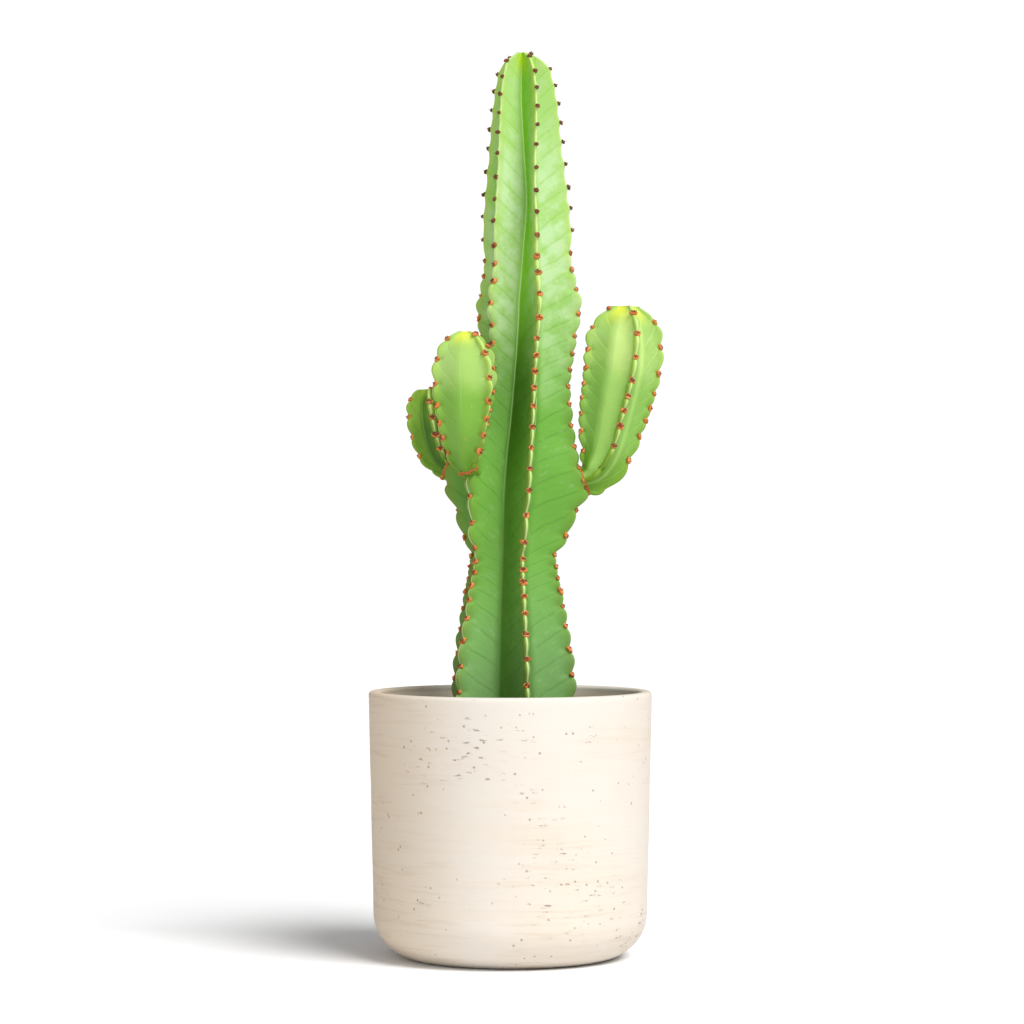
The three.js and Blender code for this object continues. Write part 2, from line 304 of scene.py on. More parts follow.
@dataclass(frozen=True)
class SkinFinish:
    """Green skin under a pale coat that is partly a painted sheen, with more painted sheen on the flanks
    turned to the light and painted shade on the flanks turned away.
    """

    name: str
    foot: Colour
    middle: Colour
    head: Colour
    apex: Colour
    # Painted light and shade: the colours of the flanks turned away from the light.
    low_shade_side_paint: Colour
    high_shade_side_paint: Colour
    # Colour of the pale coat, partly a painted sheen.
    bloom_and_sheen: Colour
    low_margin: Colour
    high_margin: Colour
    stripe: Colour = (0.5, 0.62, 0.26)
    line: Colour = (0.5, 0.72, 0.36)
    scar: Colour = (0.55, 0.4, 0.16)
    bloom_and_sheen_share: float = 0.75
    shade_side_paint_share: float = 0.9
    line_share: float = 0.6
    apex_start: float = 0.955
    head_start: float = 0.5

    def build(self) -> bpy.types.Material:
        """Return the material."""
        graph = Graph(self.name, {"Specular IOR Level": 0.22, "Subsurface Weight": 0.05})
        graph.shader.inputs["Subsurface Radius"].default_value = (0.4, 1.0, 0.1)
        graph.shader.inputs["Subsurface Scale"].default_value = 2.5 * MM
        crest = graph.attribute("crest")
        along = graph.attribute("along")
        vein = graph.attribute("vein")
        rim = graph.attribute("rim")
        painted_shade_side = graph.attribute("painted_shade_side")
        cloud = graph.grain(22.0, 4.0, Roughness=0.6)
        mottle = graph.grain(95.0, 5.0, Roughness=0.65)
        fine = graph.grain(700.0, 3.0)

        drift = along + (cloud - 0.5) * 0.16
        upper = drift.rise(self.head_start, self.head_start + 0.2)
        skin = graph.mix(self.foot, self.middle, drift.rise(0.1, 0.34))
        skin = graph.mix(skin, self.head, upper)
        window = crest.rise(0.03, 0.3) * crest.rise(1.0, 0.8)

        wobble = (graph.grain(60.0, 3.0) - 0.5) * 0.3
        band = (vein + wobble).fraction().distance_to(0.5)
        streak = (vein * 3 + wobble * 5).fraction().distance_to(0.5)
        # Pale coat, partly a painted sheen: mottled, stronger towards the top and thinner at the apex.
        bloom_and_sheen_mask = (cloud * 0.5 + mottle * 0.5 + (0.5 - band) * 0.12).rise(0.42, 0.6) * upper
        bloom_and_sheen_mask = bloom_and_sheen_mask * (1 - along.rise(0.76, 0.96) * 0.75)
        skin = graph.mix(skin, self.bloom_and_sheen, bloom_and_sheen_mask * crest.rise(0.05, 0.35) * self.bloom_and_sheen_share)

        # Painted shade: the flanks turned away from the light take the shade-side colour, less of it near
        # the crest.
        shade = graph.mix(self.low_shade_side_paint, self.high_shade_side_paint, upper)
        dark = (crest * 0.5 + mottle * 0.3).rise(0.95, 0.2)
        skin = graph.mix(skin, shade, painted_shade_side * dark * self.shade_side_paint_share)
        # Painted shade: the skin darkens towards the bottom of every valley.
        skin = graph.mix(skin, shade, (crest + (mottle - 0.5) * 0.2).rise(0.3, 0.0) * 0.55)
        # Olive margins near the crests, laid on more thickly as painted shade on the flanks turned away
        # from the light.
        margin = graph.mix(self.low_margin, self.high_margin, upper)
        edge = (crest + (mottle - 0.5) * 0.25).rise(0.74, 1.04)
        skin = graph.mix(skin, margin, edge * (0.42 + painted_shade_side * 0.4))

        furrow = band.rise(0.4, 0.5) * window
        skin = graph.mix(skin, shade, furrow * 0.18 + streak.rise(0.35, 0.5) * window * 0.08)
        # Painted sheen: pale mottles only on the flanks turned to the light.
        pale = (mottle * 0.7 + streak * 0.3).rise(0.5, 0.62) * window
        skin = graph.mix(skin, self.bloom_and_sheen, pale * (1 - painted_shade_side) * 0.16)

        line = crest.rise(0.05, 0.015) * along.rise(0.3, 0.6) * self.line_share
        skin = graph.mix(skin, self.line, line)
        skin = graph.mix(skin, self.apex, along.rise(self.apex_start, 1.0) * crest.rise(1.0, 0.2))
        skin = graph.mix(skin, self.stripe, rim.rise(0.3, 0.9) * 0.8)
        speck = graph.cells(48.0).rise(0.06, 0.04) * graph.grain(9.0, 1.0).rise(0.5, 0.62)
        skin = graph.mix(skin, self.scar, speck * 0.8)

        roughness = 0.4 + cloud * 0.2 + furrow * 0.1 + speck * 0.2
        relief = fine * 0.15 + mottle * 0.5 + (1 - furrow) * 0.3
        return graph.finish(skin, roughness, relief, 0.32)


@dataclass(frozen=True)
class CorkFinish:
    """Corky orange-brown tissue that darkens to nearly black on the youngest pads."""

    name: str
    old: Colour = (0.6, 0.17, 0.03)
    pale: Colour = (0.72, 0.3, 0.09)
    young: Colour = (0.075, 0.028, 0.02)

    def build(self) -> bpy.types.Material:
        """Return the material."""
        graph = Graph(self.name, {"Specular IOR Level": 0.25})
        patch = graph.grain(330.0, 3.0)
        crumb = graph.grain(1400.0, 2.0)
        cork = graph.mix(self.old, self.pale, patch.rise(0.4, 0.7))
        cork = graph.mix(cork, self.young, crumb.rise(0.5, 0.68) * 0.6)
        cork = graph.mix(cork, self.young, graph.attribute("youth") * 0.94)
        return graph.finish(cork, 0.75 + patch * 0.15, crumb * 0.6 + patch * 0.4, 0.35)


@dataclass(frozen=True)
class ThornFinish:
    """Dark brown horn of the thorns and of the buds on the pads."""

    name: str
    horn: Colour = (0.05, 0.014, 0.009)
    tip: Colour = (0.16, 0.06, 0.035)

    def build(self) -> bpy.types.Material:
        """Return the material."""
        graph = Graph(self.name, {"Specular IOR Level": 0.4})
        patch = graph.grain(900.0, 2.0)
        horn = graph.mix(self.horn, self.tip, patch.rise(0.45, 0.75))
        return graph.finish(horn, 0.45 + patch * 0.2, patch, 0.1)


@dataclass(frozen=True)
class ConcreteFinish:
    """Cream-washed fibre-concrete with fine level streaks, pin holes and small torn pocks, a warm tan
    painted on its left side as shade and a lighter inside painted as light.
    """

    name: str
    wash: Colour = (0.63, 0.58, 0.52)
    warm: Colour = (0.6, 0.47, 0.33)
    streak: Colour = (0.4, 0.27, 0.15)
    hole: Colour = (0.19, 0.11, 0.06)
    # Lighter colour of the pot's inside: painted light that lifts its shade.
    bare: Colour = (0.8, 0.7, 0.57)

    def build(self) -> bpy.types.Material:
        """Return the material."""
        graph = Graph(self.name, {"Specular IOR Level": 0.3})
        cloud = graph.grain(7.0, 4.0, Roughness=0.6)
        sand = graph.grain(1300.0, 3.0)
        level = graph.place((16.0, 16.0, 300.0))
        lines = graph.grain(1.0, 5.0, Vector=level, Roughness=0.62, Distortion=0.9)
        wide = graph.grain(1.0, 3.0, Vector=graph.place((5.0, 5.0, 55.0)), Distortion=0.5)
        # Painted shade: a warm tan on the left side of the pot, turned away from the light, where the level
        # streaks also gather.
        painted_shade_and_streaks = graph.side().rise(-0.02, -0.095)
        body = graph.mix(self.wash, self.warm, cloud.rise(0.38, 0.78) * 0.3 + wide.rise(0.5, 0.7) * 0.15)
        body = graph.mix(body, self.warm, painted_shade_and_streaks * 0.6)
        streaks = lines.rise(0.5, 0.64) * (cloud.rise(0.4, 0.62) * 0.5 + painted_shade_and_streaks * 0.6)
        body = graph.mix(body, self.streak, streaks * 0.3)
        body = graph.mix(body, self.streak, sand.rise(0.6, 0.8) * 0.12)
        # Painted light: the inside of the pot takes the lighter colour.
        inside = graph.attribute("inside")
        body = graph.mix(body, self.bare, inside)

        cluster = graph.grain(13.0, 2.0).rise(0.55, 0.66)
        pins = graph.cells(130.0).rise(0.15, 0.07) * graph.grain(26.0, 1.0).rise(0.42, 0.56)
        torn = graph.cells(170.0, (0.5, 0.5, 1.7)).rise(0.34, 0.1) * cluster
        torn = torn * graph.grain(700.0, 2.0, Vector=graph.place((0.6, 0.6, 1.6))).rise(0.48, 0.58)
        holes = (pins * 0.75 + torn) * (1 - inside)
        body = graph.mix(body, self.hole, holes * 0.75)

        relief = (1 - holes) * 0.6 + sand * 0.16 + lines * 0.2
        return graph.finish(body, 0.72 + sand * 0.18, relief, 0.6)


@dataclass(frozen=True)
class GrainFinish:
    """Loose or rough matter in two mixed colours, such as soil, grit and fired clay."""

    name: str
    dark: Colour
    light: Colour
    scale: float = 260.0
    relief: float = 0.8

    def build(self) -> bpy.types.Material:
        """Return the material."""
        graph = Graph(self.name, {"Specular IOR Level": 0.2})
        coarse = graph.grain(self.scale, 4.0, Roughness=0.7)
        fine = graph.grain(self.scale * 5, 3.0)
        body = graph.mix(self.dark, self.light, (coarse * 0.6 + fine * 0.4).rise(0.4, 0.66))
        return graph.finish(body, 0.85 + fine * 0.12, coarse * 0.6 + fine * 0.4, self.relief)


STEM_SKIN = SkinFinish(
    name="stem_skin",
    foot=(0.165, 0.34, 0.1),
    middle=(0.14, 0.35, 0.045),
    head=(0.33, 0.54, 0.15),
    apex=(0.36, 0.56, 0.01),
    low_shade_side_paint=(0.035, 0.12, 0.001),
    high_shade_side_paint=(0.14, 0.41, 0.001),
    bloom_and_sheen=(0.5, 0.65, 0.4),
    low_margin=(0.15, 0.22, 0.02),
    high_margin=(0.34, 0.5, 0.06),
)
# On the right arm the flanks turned away from the light are painted paler: painted light.
ARM_SKIN = SkinFinish(
    name="arm_skin",
    foot=(0.13, 0.29, 0.02),
    middle=(0.2, 0.39, 0.07),
    head=(0.28, 0.46, 0.1),
    apex=(0.62, 0.68, 0.06),
    low_shade_side_paint=(0.34, 0.57, 0.13),
    high_shade_side_paint=(0.55, 0.73, 0.23),
    bloom_and_sheen=(0.34, 0.5, 0.18),
    low_margin=(0.2, 0.32, 0.02),
    high_margin=(0.3, 0.46, 0.05),
    bloom_and_sheen_share=0.5,
    shade_side_paint_share=1.0,
    line_share=0.1,
    apex_start=0.88,
    head_start=0.55,
)
# A darker copy of the arm skin for the front-left arm: painted shade.
FRONT_ARM_PAINTED_SHADE_SKIN = replace(
    ARM_SKIN,
    name="front_arm_painted_shade_skin",
    foot=(0.09, 0.23, 0.012),
    middle=(0.16, 0.34, 0.045),
    low_shade_side_paint=(0.17, 0.37, 0.04),
    high_shade_side_paint=(0.31, 0.5, 0.11),
)
# A much darker copy of the arm skin for the rear-left arm: painted shade where the front-left arm shades
# it.
SHADED_ARM_SKIN = replace(
    ARM_SKIN,
    name="shaded_arm_skin",
    foot=(0.07, 0.19, 0.006),
    middle=(0.11, 0.24, 0.012),
    head=(0.15, 0.3, 0.02),
    apex=(0.24, 0.36, 0.03),
    low_shade_side_paint=(0.03, 0.1, 0.002),
    high_shade_side_paint=(0.05, 0.15, 0.004),
    bloom_and_sheen=(0.2, 0.36, 0.05),
    shade_side_paint_share=0.8,
)
CORK = CorkFinish("areole_cork")
THORN = ThornFinish("thorn_horn")
CONCRETE = ConcreteFinish("fibre_concrete")
SOIL = GrainFinish("soil", (0.018, 0.011, 0.007), (0.09, 0.055, 0.033))
BARK = GrainFinish("bark_bits", (0.05, 0.026, 0.014), (0.19, 0.11, 0.06))
PERLITE = GrainFinish("perlite", (0.55, 0.53, 0.49), (0.82, 0.81, 0.78), 500.0, 0.3)
GRANULES = GrainFinish("clay_granules", (0.2, 0.07, 0.03), (0.42, 0.18, 0.09), 140.0, 1.5)
ROOTS = GrainFinish("rooted_soil", (0.07, 0.04, 0.02), (0.42, 0.31, 0.18), 200.0, 1.2)
FLOOR = GrainFinish("studio_floor", (0.93, 0.93, 0.93), (0.95, 0.95, 0.95), 3.0, 0.0)


# ---- Mesh kit ----------------------------------------------------------------------------------


def make_piece(shape: bmesh.types.BMesh, name: str, finish: bpy.types.Material) -> bpy.types.Object:
    """Turn a finished shape into an object at the origin.

    Args:
        shape: The shape in metres, which is freed.
        name: The piece's name.
        finish: Its material.

    Returns:
        The new object, smooth shaded.
    """
    bmesh.ops.recalc_face_normals(shape, faces=shape.faces)
    for face in shape.faces:
        face.smooth = True
    mesh = bpy.data.meshes.new(name)
    shape.to_mesh(mesh)
    shape.free()
    mesh.materials.append(finish)
    piece = bpy.data.objects.new(name, mesh)
    bpy.context.collection.objects.link(piece)
    log.info("%s: %d faces", name, len(mesh.polygons))
    return piece


def settle(piece: bpy.types.Object, slot: str, *nodes: str) -> None:
    """Fix a piece to the one body and hide the nodes that it stands for."""
    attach(piece, "root")
    if nodes:
        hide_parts(*nodes)


def append(shape: bmesh.types.BMesh, part: bmesh.types.BMesh) -> None:
    """Move everything in a small shape into a larger one."""
    carrier = bpy.data.meshes.new("carrier")
    part.to_mesh(carrier)
    part.free()
    shape.from_mesh(carrier)
    bpy.data.meshes.remove(carrier)


def basis(origin: Vector, side: Vector, out: Vector, along: Vector) -> Matrix:
    """Return the matrix that puts local X, Y and Z along three directions at a point."""
    turn = Matrix((side, out, along)).transposed().to_4x4()
    return Matrix.Translation(origin) @ turn


def add_lump(
    shape: bmesh.types.BMesh, where: Matrix, size: Sequence[float], rough: float, detail: int
) -> list[bmesh.types.BMVert]:
    """Add a small uneven lump.

    Args:
        shape: The shape that it joins.
        where: Its place and turn, in millimetres.
        size: Its half sizes along local X, Y and Z.
        rough: How uneven it is, as a share of its size.
        detail: Subdivisions of the ball it starts from.

    Returns:
        Its vertices.
    """
    made = bmesh.ops.create_icosphere(shape, subdivisions=detail, radius=1.0)["verts"]
    seat = where.translation
    for vert in made:
        bump = 1 + rough * noise.noise(vert.co * 2.1 + seat * 3.7)
        local = Vector(a * b for a, b in zip(vert.co, size)) * bump
        vert.co = (where @ local) * MM
    return made


# ---- Ribbed shoots -----------------------------------------------------------------------------


@dataclass(frozen=True)
class Rib:
    """One wing of a shoot."""

    azimuth: Pairs
    phase: float
    first_pad: float = 0.0
    reach: Pairs = ((0.0, 1.0), (1.0, 1.0))
    swelling: Pairs = ((0.0, 0.0), (1.0, 0.0))


@dataclass(frozen=True)
class Crest:
    """A rib's edge on one cross-section, in the plane of that section."""

    out: Vector
    side: Vector
    radius: float
    sink: float
    half: float
    bulge: float
    count: float


@dataclass
class Shoot:
    """A ribbed stem swept along its middle line, with thorn pads along every rib.

    Distances run along the middle line and begin at `start`, so that on the main stem they are
    heights above the planter's base.
    """

    node: str
    slot: str
    finish: SkinFinish
    axis: tuple[tuple[float, float, float], ...]
    girth: Pairs
    core: Pairs
    spacing: Pairs
    ribs: tuple[Rib, ...]
    start: float = 0.0
    youth: Pairs = ((0.0, 0.0), (1.0, 0.0))
    valley_swing: Mapping[int, Pairs] = field(default_factory=dict)
    bare_foot: float = 0.0
    collar: float | None = None
    rows: int = 300
    sector_columns: int = 36
    crest_half: float = 1.15
    crest_drop: float = 1.3
    bulge_thickness: float = 0.9
    ribbon: float = 1.5
    apex_dent: float = 1.5
    scallop_share: float = 0.21
    tip_share: float = 0.1
    vein_rise: float = 1.25
    relief: float = 0.2
    valley_width: float = 0.18

    def __post_init__(self) -> None:
        """Work out the middle line and the running count of teeth."""
        points = [Vector(point) for point in self.axis]
        travelled = [0.0]
        for before, after in zip(points, points[1:]):
            travelled.append(travelled[-1] + (after - before).length)
        self.line = tuple(
            Curve(tuple((d, point[i]) for d, point in zip(travelled, points))) for i in range(3)
        )
        self.length = travelled[-1]
        self.stop = self.start + self.length
        self.girth_curve = Curve(self.girth)
        self.core_curve = Curve(self.core)
        self.spacing_curve = Curve(self.spacing)
        self.youth_curve = Curve(self.youth)
        self.azimuths = [Curve(rib.azimuth) for rib in self.ribs]
        self.reaches = [Curve(rib.reach) for rib in self.ribs]
        self.swellings = [Curve(rib.swelling) for rib in self.ribs]
        self.swings = {place: Curve(pairs) for place, pairs in self.valley_swing.items()}
        self.counts = [0.0]
        for place in range(int(self.length) + 2):
            self.counts.append(self.counts[-1] + 1 / self.spacing_curve.at(self.start + place + 0.5))

    def centre(self, distance: float) -> Vector:
        """Return the point on the middle line at a distance."""
        return Vector(curve.at(distance - self.start) for curve in self.line)

    def lean(self, distance: float) -> Quaternion:
        """Return the turn from upright to the middle line's direction at a distance."""
        ahead = self.centre(min(distance + 0.5, self.stop))
        return UP.rotation_difference(ahead - self.centre(max(distance - 0.5, self.start)))

    def tooth_count(self, distance: float) -> float:
        """Return how many teeth lie between the start and a distance."""
        travelled = min(max(distance - self.start, 0.0), self.length)
        place = int(travelled)
        return blend(self.counts[place], self.counts[place + 1], travelled - place)

    def tooth_edge(self, count: float, distance: float) -> float:
        """Return how far a rib's edge lies inside the girth.

        Args:
            count: The number of teeth up to here, whole numbers at the pads.
            distance: The distance along the shoot.

        Returns:
            A depth in millimetres.
        """
        share = count % 1.0
        arch = abs(math.sin(math.pi * share**1.45)) ** 0.7
        hollow = math.sin(math.pi * share) ** 0.8
        youth = self.youth_curve.at(distance)
        depth = self.spacing_curve.at(distance) * self.fade(distance)
        scallop = self.scallop_share * (1 - arch)
        return depth * blend(scallop, self.tip_share * hollow, youth)

    def fade(self, distance: float) -> float:
        """Return 0 at the two ends of the shoot, where the teeth vanish, and 1 between them."""
        return step(distance, self.start, self.start + 18.0) * step(-distance, -self.stop, -self.stop + 8.0)

    def crest(self, place: int, distance: float) -> Crest:
        """Return the edge of one rib at a distance."""
        angle = math.radians(self.azimuths[place].at(distance))
        count = self.tooth_count(distance) - self.ribs[place].phase + 1
        radius = self.girth_curve.at(distance) * self.reaches[place].at(distance)
        sink = self.tooth_edge(count, distance)
        bulge = abs(math.sin(math.pi * (count % 1.0) ** 1.45)) * (1 - self.youth_curve.at(distance))
        half = min(self.crest_half + self.swellings[place].at(distance), radius * 0.45)
        out = Vector((math.sin(angle), -math.cos(angle), 0.0))
        side = Vector((math.cos(angle), math.sin(angle), 0.0))
        thick = self.bulge_thickness * bulge * self.fade(distance)
        return Crest(out, side, radius, sink, half, thick, count)

    def valley(self, place: int, distance: float, crests: Sequence[Crest]) -> Vector:
        """Return the bottom of the valley after one rib, in the plane of the section."""
        here, after = crests[place], crests[(place + 1) % len(crests)]
        turn = math.atan2(here.out.cross(after.out).z, here.out.dot(after.out)) % math.tau
        swing = self.swings[place].at(distance) if place in self.swings else 0.0
        middle = Matrix.Rotation(turn / 2 + math.radians(swing), 3, "Z") @ here.out
        return middle * self.core_curve.at(distance)

    def face_point(self, crest: Crest, valley: Vector, sign: float, share: float) -> tuple[Vector, float]:
        """Return a point on the way from the middle of a crest down one face to a valley.

        Args:
            crest: The rib's edge.
            valley: The bottom of the valley.
            sign: 1 for the face towards greater azimuths, -1 for the other.
            share: 0 at the middle of the crest, 1 in the valley.

        Returns:
            The point and how near it is to the crest, from 1 to 0.
        """
        cap = 0.2
        side = crest.side * sign
        if share < cap:
            bend = share / cap * math.pi / 2
            reach = crest.radius - crest.sink - self.crest_drop * (1 - math.cos(bend))
            return crest.out * reach + side * (crest.half + crest.bulge) * math.sin(bend), 1.0
        t = ((share - cap) / (1 - cap)) ** 1.15
        shoulder = crest.out * (crest.radius - self.crest_drop) + side * crest.half
        length = (shoulder - valley).length
        flat = Vector((-valley.y, valley.x, 0.0)).normalized() * -sign
        inner = shoulder - crest.out * length * 0.36 + side * length * 0.02
        outer = valley + flat * length * self.valley_width
        a, b, c, d = (1 - t) ** 3, 3 * t * (1 - t) ** 2, 3 * t * t * (1 - t), t**3
        point = shoulder * a + inner * b + outer * c + valley * d
        height = 1 - t
        near = step(height, 0.6, 1.0) ** 1.5
        point += side * crest.bulge * near - crest.out * crest.sink * near
        wave = abs(math.sin(math.pi * (crest.count + self.vein_rise * (1 - height)))) ** 0.7
        weight = self.relief * height**1.3 * step(t, 0.0, 0.12)
        return point + side * weight * (wave - 0.6), height

    def section(self, distance: float) -> Iterator[tuple[Vector, dict[str, float]]]:
        """Yield the points round the shoot at a distance.

        Args:
            distance: The distance along the shoot.

        Yields:
            A point in millimetres and the numbers that are stored on it: `crest` is its nearness
            to a crest, `vein` its tooth count along the slanting veins, `rim` its nearness to the
            middle of a crest, and the mark of painted shade is 1 on the flanks turned away from the light.
        """
        crests = [self.crest(place, distance) for place in range(len(self.ribs))]
        centre, lean = self.centre(distance), self.lean(distance)
        along = (distance - self.start) / self.length
        for place, crest in enumerate(crests):
            valley = self.valley(place, distance, crests)
            marks = [self._crest_mark(rib, distance) for rib in (place, (place + 1) % len(crests))]
            after = crests[(place + 1) % len(crests)]
            for column in range(self.sector_columns):
                share = 2 * column / self.sector_columns
                near, sign = (crest, 1.0) if share <= 1 else (after, -1.0)
                way = share if share <= 1 else 2 - share
                flat, height = self.face_point(near, valley, sign, way**1.25)
                vein = near.count + self.vein_rise * (1 - height)
                point = centre + lean @ flat
                point += (lean @ flat).normalized() * 0.35 * noise.noise(point * 0.09)
                rim = max(0.0, 1 - abs(flat.dot(near.side)) / self.ribbon) * float(height == 1.0)
                rim *= marks[0] if sign > 0 else marks[1]
                # Painted shade: flanks facing left, away from the key light, are marked for the shade-side
                # colour.
                painted_shade_side = step(-sign * near.side.x, 0.1, 0.8)
                numbers = {"crest": height, "vein": vein, "rim": rim, "painted_shade_side": painted_shade_side}
                yield point, numbers | {"along": along}

    def _crest_mark(self, place: int, distance: float) -> float:
        """Return how clearly the crest of one rib is marked at a distance, from 0 to 1."""
        bare = max(self.bare_foot, self.ribs[place].first_pad)
        return step(distance, bare - 8.0, bare + 4.0)

    def skin(self, finish: bpy.types.Material) -> bpy.types.Object:
        """Return the green skin as one closed piece."""
        columns = len(self.ribs) * self.sector_columns
        shape = bmesh.new()
        bmesh.ops.create_grid(shape, x_segments=columns, y_segments=self.rows, size=1.0)
        names = ("crest", "vein", "rim", "painted_shade_side", "along")
        layers = {name: shape.verts.layers.float.new(name) for name in names}
        rings: dict[int, list[bmesh.types.BMVert]] = {}
        for vert in shape.verts:
            rings.setdefault(round((vert.co.y + 1) / 2 * self.rows), []).append(vert)
        for row, ring in rings.items():
            ring.sort(key=lambda vert: vert.co.x)
            self._place_ring(row, ring, layers)
        bmesh.ops.remove_doubles(shape, verts=shape.verts, dist=1e-6)
        return make_piece(shape, f"{self.node}_skin", finish)

    def _place_ring(
        self,
        row: int,
        ring: Sequence[bmesh.types.BMVert],
        layers: Mapping[str, bmesh.types.BMLayerItem],
    ) -> None:
        """Move one row of the flat grid onto the shoot and store its numbers.

        Args:
            row: The row, 0 at the start of the shoot.
            ring: Its vertices from the first column to the last, which closes the ring.
            layers: The stored numbers.
        """
        ends = row in (0, self.rows)
        share = min(max((row - 1) / (self.rows - 2), 0.0), 1.0)
        distance = self.start + self.length * (1 - (1 - share) ** 1.3)
        points = list(self.section(distance))
        hub = sum((point for point, _ in points), Vector()) / len(points)
        dent = self.lean(distance) @ UP * self.apex_dent
        for column, vert in enumerate(ring):
            point, numbers = points[column % len(points)]
            vert.co = (hub - dent * (1 if row else -1) if ends else point) * MM
            for name, layer in layers.items():
                vert[layer] = numbers[name]

    def pad_seats(self) -> Iterator[tuple[Matrix, float]]:
        """Yield the place of every thorn pad, with its youth.

        Yields:
            A matrix whose X runs across the rib, Y outwards and Z along it, and the youth.
        """
        for place, rib in enumerate(self.ribs):
            distance = max(rib.first_pad, self.bare_foot)
            last = self.tooth_count(distance) - rib.phase + 1
            while distance < self.stop - 0.5:
                distance += 0.25
                count = self.tooth_count(distance) - rib.phase + 1
                if math.floor(count) > math.floor(last):
                    yield self._seat(place, distance), self.youth_curve.at(distance)
                last = count

    def _seat(self, place: int, distance: float) -> Matrix:
        """Return the place of the pad of one rib at a distance."""
        edge = [self._edge_point(place, distance + ahead) for ahead in (-2.5, 0.0, 2.5)]
        along = (edge[2] - edge[0]).normalized()
        side = (self.lean(distance) @ self.crest(place, distance).side).normalized()
        out = side.cross(along)
        return basis(edge[1], side, out.normalized(), along)

    def _edge_point(self, place: int, distance: float) -> Vector:
        """Return the point on the edge of one rib at a distance."""
        inside = min(max(distance, self.start), self.stop)
        crest = self.crest(place, inside)
        return self.centre(inside) + self.lean(inside) @ (crest.out * (crest.radius - crest.sink))


@dataclass
class ThornPads:
    """The corky pads and the thorns of one shoot. Each pad is a crust of small uneven knobs."""

    shoot: Shoot
    seed: int
    spread: tuple[float, float, float] = (1.7, 0.3, 1.35)
    knob: float = 1.5
    knobs: int = 6
    buds: int = 4
    bud: float = 0.78
    lift: float = 0.6
    young_scale: float = 0.66
    thorn_length: float = 2.0
    thorn_radius: float = 0.34

    def build(self, cork: bpy.types.Material, horn: bpy.types.Material) -> None:
        """Build the pads as one piece and their thorns as another."""
        draw = random.Random(self.seed)
        pads, thorns = bmesh.new(), bmesh.new()
        pads.verts.layers.float.new("youth")
        for seat, youth in self.shoot.pad_seats():
            size = blend(1.0, self.young_scale, youth) * draw.uniform(0.88, 1.16)
            seat = seat @ Matrix.Rotation(math.radians(draw.uniform(4, 22)), 4, "X")
            append(pads, self._crust(seat, size, youth, draw))
            append(thorns, self._thorns(seat, size, draw))
        name = self.shoot.node
        settle(make_piece(pads, f"{name}_pads", cork), self.shoot.slot)
        settle(make_piece(thorns, f"{name}_thorns", horn), self.shoot.slot)

    def _crust(
        self, seat: Matrix, size: float, youth: float, draw: random.Random
    ) -> bmesh.types.BMesh:
        """Return the corky knobs and the dark buds of one pad.

        Args:
            seat: The place of the pad.
            size: Its scale.
            youth: 1 for a young pad, where the whole crust is dark.
            draw: The random draws.

        Returns:
            The pad, with its darkness stored as `youth`.
        """
        shape = bmesh.new()
        layer = shape.verts.layers.float.new("youth")
        for place in range(self.knobs + self.buds):
            is_bud = place >= self.knobs
            turn = math.tau * (place + draw.uniform(-0.3, 0.3)) / (self.buds if is_bud else self.knobs)
            reach = draw.uniform(0.2, 0.9) if is_bud else draw.uniform(0.3, 1.0)
            across = self.spread[0] * reach * math.cos(turn)
            along = self.spread[2] * reach * math.sin(turn)
            out = self.lift + (1.05 if is_bud else self.spread[1] * draw.uniform(-1.0, 1.0))
            radius = (self.bud if is_bud else self.knob) * draw.uniform(0.85, 1.2) * size
            where = seat @ Matrix.Translation(Vector((across, out, along)) * size)
            dark = 0.9 if is_bud else max(youth * draw.uniform(0.8, 1.0), draw.choice((0.0, 0.0, 0.25)))
            for vert in add_lump(shape, where, (radius, radius * 0.8, radius), 0.4, 2):
                vert[layer] = dark
        return shape

    def _thorns(self, seat: Matrix, size: float, draw: random.Random) -> bmesh.types.BMesh:
        """Return the pair of short thorns that spread from a pad."""
        shape = bmesh.new()
        for sign in (-1, 1):
            outward = Matrix.Rotation(math.radians(-90 + draw.uniform(-14, 14)), 4, "X")
            splay = Matrix.Rotation(math.radians(sign * draw.uniform(28, 50)), 4, "Y")
            length = self.thorn_length * size * draw.uniform(0.7, 1.2)
            root = Matrix.Translation((sign * 0.8 * size, self.lift + 0.9, draw.uniform(-0.5, 0.5)))
            lift = Matrix.Translation((0.0, 0.0, length / 2))
            bmesh.ops.create_cone(
                shape,
                cap_ends=True,
                segments=6,
                radius1=self.thorn_radius * size,
                radius2=0.05,
                depth=length,
                matrix=Matrix.Scale(MM, 4) @ seat @ root @ outward @ splay @ lift,
            )
        return shape


@dataclass
class Collar:
    """The corky scar round the neck of an arm."""

    shoot: Shoot
    thickness: float = 1.25
    steps: int = 10

    def build(self, cork: bpy.types.Material) -> None:
        """Build the uneven ring and settle it."""
        distance = self.shoot.collar
        ring = [point for point, _ in self.shoot.section(distance)]
        centre = self.shoot.centre(distance)
        along = self.shoot.lean(distance) @ UP
        shape = bmesh.new()
        bmesh.ops.create_grid(shape, x_segments=len(ring), y_segments=self.steps, size=1.0)
        youth_layer = shape.verts.layers.float.new("youth")
        for vert in shape.verts:
            column = round((vert.co.x + 1) / 2 * len(ring)) % len(ring)
            turn = math.pi * (vert.co.y + 1)
            out = (ring[column] - centre).normalized()
            uneven = 1 + 0.45 * noise.noise(ring[column] * 0.45)
            reach = self.thickness * uneven
            offset = out * math.cos(turn) * 0.8 + along * math.sin(turn) * 1.3
            vert.co = (ring[column] + offset * reach) * MM
            vert[youth_layer] = 0.3
        bmesh.ops.remove_doubles(shape, verts=shape.verts, dist=1e-6)
        settle(make_piece(shape, f"{self.shoot.node}_collar", cork), self.shoot.slot)


